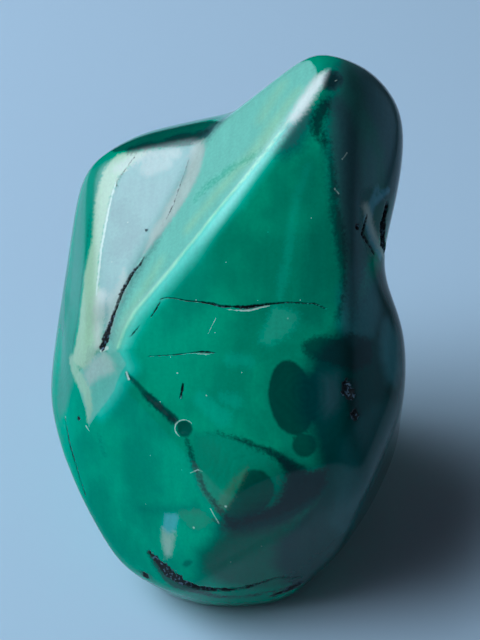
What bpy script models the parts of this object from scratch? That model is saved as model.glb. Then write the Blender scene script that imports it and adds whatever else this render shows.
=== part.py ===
"""Polished malachite stone: a free form with ground faces, a peak and a shoulder, standing on a flat foot.

The skin is a radius for every direction from one centre inside the stone. Directions are a heading
and a tilt in degrees: heading 0 looks to the front (-Y), 90 to the right (+X), 180 to the back, and
tilt 90 looks straight up. Distances are in millimetres, the finished solid is in metres, +Z up.
"""
import bmesh
import bpy
import numpy as np

MM = 0.001

# Height of the centre above the foot
CENTRE_HEIGHT = 36.0

# Ground faces of the peak: name, heading, tilt, distance from the centre
PEAK_FACES = (
    ("crown", 153, 61, 39.6),
    ("crown right", 108, 37, 37.8),
    ("right side, upper", 85, 4, 24.8),
    ("right side, lower", 64, -7, 26.8),
    ("right front", 48, 33, 20.6),
    ("left side", -92, -4, 24.0),
    ("front slope", -8, 44, 13.2),
    ("front slope, left part", -29, 38, 12.0),
    ("flank beside the ridge", -76, 45, 14.8),
    ("flank below the tip", -66.6, 51.3, 15.7),
    ("neck", -130, 41, 24.6),
)

# Ground faces of the shoulder on the left
SHOULDER_FACES = (
    ("shelf", -43, 54, 11.8),
    ("rim of the shelf", -76, 23, 19.6),
    ("shoulder side", -96, 5, 26.0),
    ("shoulder corner", -128, 33, 31.6),
    ("shoulder back edge", -161, 56, 29.8),
    ("inner front", -21, 34, 9.0),
    ("inner right", 86, 4, 12.0),
)

# Ground faces that cut the peak and the shoulder alike
SHARED_FACES = (
    ("lower front", 10, -4, 26.2),
    ("turn of the belly", 2, 19, 20.2),
    ("lower right", 50, -27, 33.8),
    ("belly", 1, -35, 38.0),
    ("lower left", -33, -28, 35.2),
    ("left front", -39, 17, 15.8),
    ("corner below the shelf", -61, 19, 18.2),
    ("back", 172, -4, 26.0),
    ("back right", 128, -8, 26.6),
    ("back left", -124, -10, 28.6),
    ("back, undercut", 170, -52, 36.0),
    ("left, undercut", -92, -40, 30.6),
    ("right, undercut", 100, -44, 36.4),
)

# How tightly neighbouring faces meet, and how wide the joins between the bodies are
EDGE_POWER = 30.0
VALLEY_BLEND = 1.2
FOOT_BLEND = 2.0

# Hollow of the waist on the right: heading, tilt, depth, spread in degrees
WAIST_HOLLOW = (105, 17, 6.0, 17.5)

# Faint swells that hand polishing leaves: heading, tilt, wavelength, height, start in degrees
SWELLS = (
    (20, 10, 31.0, 0.10, 40),
    (-60, 40, 23.0, 0.08, 200),
    (120, -20, 27.0, 0.10, 310),
    (75, 70, 17.0, 0.06, 90),
)

# Open cracks and chipped grooves: depth, then points of heading, tilt and half width
GROOVES = {
    "crack across the front slope": (0.35, (
        (-65, 42.5, 0.07), (-61.5, 46.5, 0.09), (-54, 50, 0.11), (-44.5, 52.5, 0.14),
        (-32, 55.5, 0.13), (-18, 56.5, 0.26), (-7, 55.5, 0.3), (5, 55, 0.22), (15.5, 53.5, 0.32),
        (25, 52.5, 0.27), (35, 50.5, 0.18), (43.5, 47.5, 0.11), (53, 41, 0.1), (54.5, 37.5, 0.07))),
    "short crack below it": (0.2, (
        (-50, 13.5, 0.05), (-39.5, 18.5, 0.06), (-27, 24, 0.07), (-20, 26.5, 0.16),
        (-14.5, 27.5, 0.18), (-9.5, 28, 0.08))),
    "crack in the valley": (0.6, (
        (-103.5, 42, 0.11), (-99.5, 39.5, 0.2), (-97.5, 36.5, 0.27), (-94.5, 33.5, 0.33),
        (-90.5, 30, 0.33), (-87, 26, 0.3), (-83.5, 22.5, 0.28), (-80.5, 19, 0.4),
        (-77, 16, 0.34), (-74, 12.5, 0.4), (-72, 9, 0.45), (-71.5, 6.5, 0.4))),
    "crack on the left side": (0.22, (
        (-76.5, -26.5, 0.1), (-73, -29, 0.14), (-69.5, -32, 0.18), (-66, -34.5, 0.14),
        (-62.5, -37.5, 0.11), (-58.5, -40.5, 0.08))),
    "cleft above the foot": (0.7, (
        (-28, -43.5, 0.25), (-24.5, -43.5, 0.5), (-20.5, -43.5, 0.9), (-16, -43, 0.85),
        (-12, -43, 0.6), (-6, -45.5, 0.45), (0.5, -47.5, 0.38), (7, -47.5, 0.3),
        (11.5, -46.5, 0.2), (15.5, -45.5, 0.16), (20, -46, 0.13), (23.5, -46, 0.1))),
    "gouge beside the cleft": (0.4, (
        (16, -52, 0.25), (19.5, -51, 0.65), (24, -49, 0.45))),
    "dark seam": (0.12, (
        (-52, 0.5, 0.15), (-44.5, -1.5, 0.25), (-36.5, -3.5, 0.35), (-30, -5.5, 0.4),
        (-24.5, -7.5, 0.4))),
    "streak on the ridge": (0.18, (
        (-63.5, 41.5, 0.09), (-62.5, 37, 0.14), (-62, 32, 0.1))),
    "second streak": (0.18, (
        (-64, 24, 0.1), (-64, 20, 0.16), (-64, 17.5, 0.1))),
    "fleck in the front slope": (0.25, (
        (-25.5, 7.5, 0.12), (-25, 4, 0.2), (-25, 1.5, 0.15))),
    "broken pocket in the waist": (1.1, (
        (104, 39.5, 0.8), (98.5, 38, 1.2), (94.5, 34.5, 1.3), (97, 27, 0.9))),
    "inner edge of the pocket": (0.5, (
        (95, 46, 0.5), (88, 45, 0.7), (87, 37, 0.5))),
    "crack on the back": (0.35, (
        (150, 34, 0.2), (163, 24, 0.35), (171, 10, 0.3), (174, -6, 0.2))),
}

# Round pits: heading, tilt, radius, depth
PITS = {
    "pit in the head": (134.5, 62.5, 1.1, 0.5),
    "ring on the front slope": (-20, -8, 1.3, 0.15),
    "pit in the right front": (44, 9.5, 1.0, 0.5),
    "notch beside it": (44.5, 12, 0.6, 0.4),
    "smaller pit below it": (42.5, 3, 0.7, 0.35),
    "pit beside the pocket": (88.5, 48, 0.6, 0.4),
    "fleck at the corner": (-69.5, -23, 0.35, 0.2),
    "pit at the lower left": (-28.5, -47.5, 0.65, 0.25),
    "pit in the back": (-150, 6, 1.0, 0.4),
    "pit low on the right": (92, -24, 0.9, 0.4),
}

# Narrowest half width of a groove that is carved
FINEST_HALF_WIDTH = 0.15

# Fineness of the skin: sphere levels, bands in mm that are split once more, triangles kept
SPHERE_LEVELS = 6
SPLIT_BANDS = (1.3, 0.8)
TRIANGLES_KEPT = 9400

STONE_COLOUR = (0.008, 0.22, 0.16, 1.0)
STONE_ROUGHNESS = 0.12


def direction(heading, tilt):
    """Unit vectors for headings and tilts in degrees."""
    turn = np.radians(np.asarray(heading, dtype=float))
    rise = np.radians(np.asarray(tilt, dtype=float))
    parts = (np.sin(turn) * np.cos(rise), -np.cos(turn) * np.cos(rise), np.sin(rise))
    return np.stack(parts, axis=-1)


def smooth_max(first, second, band):
    """The larger of two values, rounded over where they are within the band."""
    overlap = np.clip(band - np.abs(first - second), 0.0, None) / band
    return np.maximum(first, second) + overlap * overlap * band / 4.0


def face_radius(rays, faces):
    """Distance along each ray to the body that the faces enclose, with softened edges."""
    normals = direction([face[1] for face in faces], [face[2] for face in faces])
    reach = np.clip(rays @ normals.T, 0.0, None) / np.array([face[3] for face in faces])
    nearest = reach.max(axis=1, keepdims=True)
    total = ((reach / nearest) ** EDGE_POWER).sum(axis=1) ** (1.0 / EDGE_POWER)
    return 1.0 / (nearest[:, 0] * total)


def body_radius(rays):
    """Peak and shoulder joined in a valley, with the waist hollowed out and the swells added."""
    peak = face_radius(rays, PEAK_FACES + SHARED_FACES)
    shoulder = face_radius(rays, SHOULDER_FACES + SHARED_FACES)
    joined = smooth_max(peak, shoulder, VALLEY_BLEND)
    heading, tilt, depth, spread = WAIST_HOLLOW
    angle = np.degrees(np.arccos(np.clip(rays @ direction(heading, tilt), -1.0, 1.0)))
    radius = joined - depth * np.exp(-(angle / spread) ** 2)
    points = rays * radius[:, None]
    for heading, tilt, wavelength, height, start in SWELLS:
        turns = points @ direction(heading, tilt) / wavelength + start / 360.0
        radius = radius + height * np.sin(2.0 * np.pi * turns)
    return radius


def path_points(path):
    """Points of a groove on the body, with their half widths."""
    rays = direction([point[0] for point in path], [point[1] for point in path])
    halves = np.maximum([point[2] for point in path], FINEST_HALF_WIDTH)
    return rays * body_radius(rays)[:, None], halves


def groove_distance(points, path):
    """Distance of each point from a groove's line, and the half width there."""
    corners, halves = path_points(path)
    best = np.full(len(points), np.inf)
    width = np.zeros(len(points))
    for start, end, first, last in zip(corners[:-1], corners[1:], halves[:-1], halves[1:]):
        along = end - start
        share = np.clip((points - start) @ along / (along @ along), 0.0, 1.0)
        gap = np.linalg.norm(points - start - share[:, None] * along, axis=1)
        closer = gap < best
        best = np.where(closer, gap, best)
        width = np.where(closer, first + (last - first) * share, width)
    return best, width


def pit_distance(points, heading, tilt):
    """Distance of each point from the middle of a pit."""
    ray = direction([heading], [tilt])
    return np.linalg.norm(points - ray * body_radius(ray)[:, None], axis=1)


def bowl(distance, reach):
    """Cross-section of a groove or pit: 1 in the middle, level with the skin at its reach."""
    return np.clip(1.0 - (distance / reach) ** 2, 0.0, None) ** 1.5


def flaw_distance(points):
    """Distance of each point from the nearest edge of a groove or pit."""
    nearest = np.full(len(points), np.inf)
    for _, path in GROOVES.values():
        gap, width = groove_distance(points, path)
        nearest = np.minimum(nearest, gap - width)
    for heading, tilt, reach, _ in PITS.values():
        nearest = np.minimum(nearest, pit_distance(points, heading, tilt) - reach)
    return nearest


def stone_radius(rays):
    """The finished radius: the body, less its cracks and pits, cut level at the foot."""
    radius = body_radius(rays)
    points = rays * radius[:, None]
    carved = np.zeros(len(rays))
    for depth, path in GROOVES.values():
        gap, width = groove_distance(points, path)
        carved = np.maximum(carved, depth * bowl(gap, width))
    for heading, tilt, reach, depth in PITS.values():
        carved = np.maximum(carved, depth * bowl(pit_distance(points, heading, tilt), reach))
    radius = radius - carved
    down = np.maximum(-rays[:, 2], 0.05)
    floor = np.where(rays[:, 2] < -0.05, CENTRE_HEIGHT / down, 1000.0)
    return -smooth_max(-radius, -floor, FOOT_BLEND)


def vertex_rays(mesh):
    """Unit directions of the vertices of a bmesh."""
    rays = np.array([vertex.co[:] for vertex in mesh.verts])
    return rays / np.linalg.norm(rays, axis=1)[:, None]


def split_near_flaws(mesh, band):
    """Halve the edges that lie within the band around the grooves and pits."""
    rays = vertex_rays(mesh)
    near = flaw_distance(rays * body_radius(rays)[:, None]) < band
    mesh.verts.ensure_lookup_table()
    mesh.verts.index_update()
    edges = [edge for edge in mesh.edges if near[edge.verts[0].index] and near[edge.verts[1].index]]
    bmesh.ops.subdivide_edges(mesh, edges=edges, cuts=1, use_grid_fill=True)
    bmesh.ops.triangulate(mesh, faces=mesh.faces[:])


def stone_mesh():
    """The skin as a closed triangle mesh in metres, foot on z = 0, centred over the origin."""
    mesh = bmesh.new()
    bmesh.ops.create_icosphere(mesh, subdivisions=SPHERE_LEVELS, radius=1.0)
    for band in SPLIT_BANDS:
        split_near_flaws(mesh, band)
    rays = vertex_rays(mesh)
    points = rays * stone_radius(rays)[:, None]
    points[:, 2] += CENTRE_HEIGHT
    for vertex, point in zip(mesh.verts, points):
        vertex.co = point * MM
    data = bpy.data.meshes.new("stone")
    mesh.to_mesh(data)
    mesh.free()
    return data


def thin_out(stone):
    """Merge the triangles of level areas until the number kept is reached."""
    thinning = stone.modifiers.new("thinning", "DECIMATE")
    thinning.ratio = TRIANGLES_KEPT / len(stone.data.polygons)
    thinning.use_collapse_triangulate = True
    bpy.context.view_layer.objects.active = stone
    bpy.ops.object.modifier_apply(modifier=thinning.name)


def settle(stone):
    """Level the foot on z = 0 and centre the extent over the origin."""
    count = len(stone.data.vertices)
    flat = np.empty(count * 3)
    stone.data.vertices.foreach_get("co", flat)
    points = flat.reshape(count, 3)
    points[points[:, 2] < 0.01 * MM, 2] = 0.0
    middle = (points.min(axis=0) + points.max(axis=0)) / 2.0
    points[:, 0] -= middle[0]
    points[:, 1] -= middle[1]
    stone.data.vertices.foreach_set("co", points.ravel())
    stone.data.update()


def malachite():
    """Green stone with a high polish."""
    material = bpy.data.materials.new("polished malachite")
    material.use_nodes = True
    shader = material.node_tree.nodes["Principled BSDF"]
    shader.inputs["Base Color"].default_value = STONE_COLOUR
    shader.inputs["Roughness"].default_value = STONE_ROUGHNESS
    return material


def main():
    """Build the stone as one object."""
    for item in list(bpy.data.objects):
        bpy.data.objects.remove(item, do_unlink=True)
    stone = bpy.data.objects.new("stone", stone_mesh())
    bpy.context.scene.collection.objects.link(stone)
    thin_out(stone)
    settle(stone)
    stone.data.shade_smooth()
    stone.data.materials.append(malachite())


if __name__ == "__main__":
    main()
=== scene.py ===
"""Looks of a polished malachite stone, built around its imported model, with a floor, light and camera.

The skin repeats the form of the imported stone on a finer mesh. Places on it are headings and tilts
in degrees seen from one centre inside the stone: heading 0 looks to the front (-Y), 90 to the
right (+X), 180 to the back, and tilt 90 looks straight up. Lengths are in millimetres, but the
panel's settings, the lights' sizes and the finished objects are in metres.
"""
import math

import bmesh
import bpy
import numpy as np
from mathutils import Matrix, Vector


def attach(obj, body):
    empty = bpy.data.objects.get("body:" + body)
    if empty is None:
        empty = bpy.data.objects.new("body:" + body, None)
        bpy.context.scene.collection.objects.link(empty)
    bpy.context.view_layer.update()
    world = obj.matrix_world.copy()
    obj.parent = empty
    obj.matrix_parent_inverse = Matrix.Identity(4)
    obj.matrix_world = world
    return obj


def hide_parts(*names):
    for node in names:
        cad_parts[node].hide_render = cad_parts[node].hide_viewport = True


bl_info = {
    "name": "Polished malachite stone",
    "version": (1, 0, 0),
    "blender": (4, 5, 0),
    "location": "3D View > Sidebar > Stone",
    "description": "Builds a polished malachite free form on its packed model, and a stage for it",
    "category": "Add Mesh",
}

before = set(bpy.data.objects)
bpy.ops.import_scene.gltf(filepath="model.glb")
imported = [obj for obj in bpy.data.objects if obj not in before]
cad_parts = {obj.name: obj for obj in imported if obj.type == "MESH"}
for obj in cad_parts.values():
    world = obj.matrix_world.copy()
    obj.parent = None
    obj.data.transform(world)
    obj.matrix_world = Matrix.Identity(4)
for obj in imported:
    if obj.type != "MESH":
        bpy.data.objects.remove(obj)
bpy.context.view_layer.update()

MM = 0.001

# Height of the centre above the foot
CENTRE_HEIGHT = 36.0

# Ground faces of the peak: heading, tilt, distance from the centre
PEAK_FACES = (
    (153, 61, 39.6),
    (108, 37, 37.8),
    (85, 4, 24.8),
    (64, -7, 26.8),
    (48, 33, 20.6),
    (-92, -4, 24.0),
    (-8, 44, 13.2),
    (-29, 38, 12.0),
    (-76, 45, 14.8),
    (-66.6, 51.3, 15.7),
    (-130, 41, 24.6),
)

# Ground faces of the shoulder on the left
SHOULDER_FACES = (
    (-43, 54, 11.8),
    (-100, 70, 22.9),
    (-76, 23, 19.6),
    (-96, 5, 26.0),
    (-128, 33, 31.6),
    (-161, 56, 29.8),
    (-21, 34, 9.0),
    (86, 4, 12.0),
)

# Ground faces that cut the peak and the shoulder alike
SHARED_FACES = (
    (10, -4, 26.2),
    (2, 19, 20.2),
    (50, -27, 33.8),
    (1, -35, 38.0),
    (-33, -28, 35.2),
    (-39, 17, 15.8),
    (-61, 19, 18.2),
    (172, -4, 26.0),
    (128, -8, 26.6),
    (-124, -10, 28.6),
    (170, -52, 36.0),
    (-92, -40, 30.6),
    (100, -44, 36.4),
)

# How tightly neighbouring faces meet, and how wide the joins between the bodies are
EDGE_POWER = 30.0
VALLEY_BLEND = 1.2
FOOT_BLEND = 2.0

# Hollow of the waist on the right: heading, tilt, depth, spread in degrees
WAIST_HOLLOW = (105, 17, 6.0, 17.5)

# Faint swells that hand polishing leaves: heading, tilt, wavelength, height, start in degrees
SWELLS = (
    (20, 10, 31.0, 0.10, 40),
    (-60, 40, 23.0, 0.08, 200),
    (120, -20, 27.0, 0.10, 310),
    (75, 70, 17.0, 0.06, 90),
)

# Open cracks and chipped grooves: depth, then points of heading, tilt and half width
GROOVES = {
    "crack across the front slope": (0.35, (
        (-65, 42.5, 0.03), (-61.5, 46.5, 0.04), (-54, 50, 0.05), (-44.5, 52.5, 0.07),
        (-32, 55.5, 0.06), (-18, 56.5, 0.16), (-7, 55.5, 0.2), (5, 55, 0.13), (15.5, 53.5, 0.23),
        (25, 52.5, 0.18), (35, 50.5, 0.1), (43.5, 47.5, 0.05), (53, 41, 0.04), (54.5, 37.5, 0.03))),
    "short crack below it": (0.2, (
        (-50, 13.5, 0.02), (-39.5, 18.5, 0.02), (-27, 24, 0.03), (-20, 26.5, 0.12),
        (-14.5, 27.5, 0.13), (-9.5, 28, 0.04))),
    "crack in the valley": (0.6, (
        (-103.5, 42, 0.11), (-99.5, 39.5, 0.2), (-97.5, 36.5, 0.27), (-94.5, 33.5, 0.33),
        (-90.5, 30, 0.33), (-87, 26, 0.3), (-83.5, 22.5, 0.28), (-80.5, 19, 0.4),
        (-77, 16, 0.45), (-74, 12.5, 0.52), (-72, 9, 0.58), (-71.5, 6.5, 0.5))),
    "crack on the left side": (0.22, (
        (-76.5, -26.5, 0.1), (-73, -29, 0.14), (-69.5, -32, 0.18), (-66, -34.5, 0.14),
        (-62.5, -37.5, 0.11), (-58.5, -40.5, 0.08))),
    "cleft above the foot": (0.7, (
        (-28, -43.5, 0.25), (-24.5, -43.5, 0.5), (-20.5, -43.5, 0.9), (-16, -43, 0.85),
        (-12, -43, 0.6), (-6, -45.5, 0.45), (0.5, -47.5, 0.38), (7, -47.5, 0.3),
        (11.5, -46.5, 0.2), (15.5, -45.5, 0.16), (20, -46, 0.13), (23.5, -46, 0.1))),
    "gouge beside the cleft": (0.4, (
        (16, -52, 0.25), (19.5, -51, 0.65), (24, -49, 0.45))),
    "dark seam": (0.12, (
        (-52, 0.5, 0.15), (-44.5, -1.5, 0.25), (-36.5, -3.5, 0.35), (-30, -5.5, 0.4),
        (-24.5, -7.5, 0.4))),
    "streak on the ridge": (0.18, (
        (-63.5, 41.5, 0.04), (-62.5, 37, 0.09), (-62, 32, 0.05))),
    "second streak": (0.18, (
        (-64, 24, 0.05), (-64, 20, 0.1), (-64, 17.5, 0.05))),
    "fleck in the front slope": (0.25, (
        (-25.5, 7.5, 0.12), (-25, 4, 0.2), (-25, 1.5, 0.15))),
    "broken pocket in the waist": (1.1, (
        (104, 39.5, 0.4), (98.5, 38, 0.7), (94.5, 34.5, 0.75), (97, 27, 0.5))),
    "inner edge of the pocket": (0.5, (
        (95, 46, 0.12), (88, 45, 0.25), (87, 37, 0.15))),
    "crack on the back": (0.35, (
        (150, 34, 0.2), (163, 24, 0.35), (171, 10, 0.3), (174, -6, 0.2))),
    "hairline on top of the shelf": (0.14, (
        (-144, 38, 0.02), (-139.5, 36.5, 0.035), (-134, 34, 0.03), (-131, 33.5, 0.02))),
    "hairline beside the beige strip": (0.14, (
        (-158.5, 52, 0.02), (-151, 53, 0.04), (-137.5, 54, 0.05), (-127.5, 52.5, 0.03))),
}

# Round pits: heading, tilt, radius, depth
PITS = {
    "pit in the head": (131, 61.5, 0.9, 0.12),
    "ring on the front slope": (-19.5, -8.5, 1.3, 0.12),
    "pit in the right front": (44, 9.5, 1.0, 0.5),
    "notch beside it": (44.5, 12, 0.6, 0.4),
    "smaller pit below it": (42.5, 3, 0.7, 0.35),
    "pit beside the pocket": (88.5, 48, 0.4, 0.3),
    "fleck at the corner": (-69.5, -23, 0.35, 0.2),
    "pit at the lower left": (-28.5, -47.5, 0.65, 0.25),
    "pit in the back": (-150, 6, 1.0, 0.4),
    "pit low on the right": (92, -24, 0.9, 0.4),
    "dot on the shelf": (-120.5, 43.5, 0.22, 0.2),
}


def oval(heading, tilt, across, up, lean, angles, halves=()):
    """Places on a leaning oval at some angles, with half widths where it is drawn as a line."""
    places = []
    for number, angle in enumerate(angles):
        turn = math.radians(angle)
        place = (heading + across * math.cos(turn) + lean * math.sin(turn), tilt + up * math.sin(turn))
        places.append((*place, *halves[number:number + 1]))
    return tuple(places)


# Fine pale chips along the cracks, scratches and specks, and painted highlights where the rims of
# a crack, the ring, the seam and the shelf's edge catch the light, as points of heading, tilt, half width
CHIPS_AND_RIM_HIGHLIGHTS = {
    # Chips below the crack, partly painted highlight on the lit lower lip
    "chips below the crack, partly painted highlight": (
        (-3, 54, 0.02), (6, 53, 0.05), (13, 52, 0.09), (19.5, 51.2, 0.1), (27, 51, 0.1),
        (33, 50, 0.03)),
    "chips below the short crack": (
        (-22, 25, 0.02), (-16, 26, 0.03), (-12.5, 26.5, 0.02)),
    "chips in the valley": ((-82, 21, 0.15), (-79.5, 18.5, 0.15)),
    "chips at the valley's end": ((-69.5, 7.5, 0.28), (-71, 5, 0.22)),
    # Painted highlight at the start of the seam
    "painted highlight at the start of the seam": ((-56, 2.5, 0.12), (-53.5, 0.5, 0.16)),
    # Painted highlight on the rim of the ring
    "painted highlight on the rim of the ring": oval(-19.7, -8.5, 4.3, 3.0, 1.0, range(266, 50, -21), (
        0.02, 0.05, 0.07, 0.07, 0.06, 0.05, 0.05, 0.06, 0.05, 0.03, 0.02)),
    "scratch": ((-12, 48.5, 0.02), (-16.5, 38.5, 0.02)),
    "speck above the fleck": ((-30.5, 11.5, 0.12),),
    "speck in the lower eye": ((-1, -21.5, 0.13),),
    "speck by the thin vein": ((-11.5, -32, 0.12),),
    "speck in the head pit": ((130.5, 61, 0.12),),
    "curl on the left vein": ((-14.5, -20, 0.03), (-11.5, -17.5, 0.05), (-9.5, -17, 0.02)),
    "edge of the lower vein": ((-6, -24.5, 0.03), (-4.5, -25.5, 0.06), (-3, -26.5, 0.03)),
    # Chipped edge of the shelf, partly painted highlight
    "chipped edge of the shelf, partly painted highlight": (
        (-133, 33.5, 0.1), (-126, 31.5, 0.12), (-119.5, 29.5, 0.17), (-110, 26, 0.17),
        (-100, 22, 0.14), (-92, 18, 0.1)),
    "drop at the corner": ((-65.5, -24, 0.1), (-63.5, -25, 0.06)),
    "end of the left crack": ((-76.5, -26, 0.12),),
    "scratches on the head": ((107.5, 59, 0.03), (109.5, 58, 0.03)),
    "scratch by the dark edge": ((98, 59, 0.03), (96, 57.5, 0.03)),
}

# Pale specks of crushed mineral: heading, tilt, radius
SPECKS = (
    (-38, 18, 0.06), (26.5, 55, 0.05), (-11, 40, 0.06), (39, 41, 0.05), (7, 19.5, 0.05),
    (-34.5, -3, 0.06), (-11.5, 6, 0.05), (86.5, 62, 0.05), (-33.5, -23.5, 0.06),
    (-41.5, -42, 0.05), (0.5, -37.5, 0.06), (10, -33.5, 0.05), (-74.5, 34, 0.05),
    (-122, 36.5, 0.06), (-104.5, 28, 0.05), (-68, -3.5, 0.06), (-36.5, 55.5, 0.05),
    (-6, 76.5, 0.04), (73.5, 74, 0.05), (-18, -21, 0.05), (-32, -36, 0.05), (49.5, 45.5, 0.04),
)

# The crest of the ridge from the head down to the corner: heading, tilt, half width of its painted
# highlight
CREST = (
    (138, 62.5, 0.2), (137.5, 64, 0.2), (139.5, 68.5, 0.2), (155.5, 78.5, 0.18), (-95, 77.5, 0.2),
    (-76, 55.5, 0.2), (-71.5, 28, 0.22), (-68.5, 18, 0.2), (-65.5, 10, 0.15),
)
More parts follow.
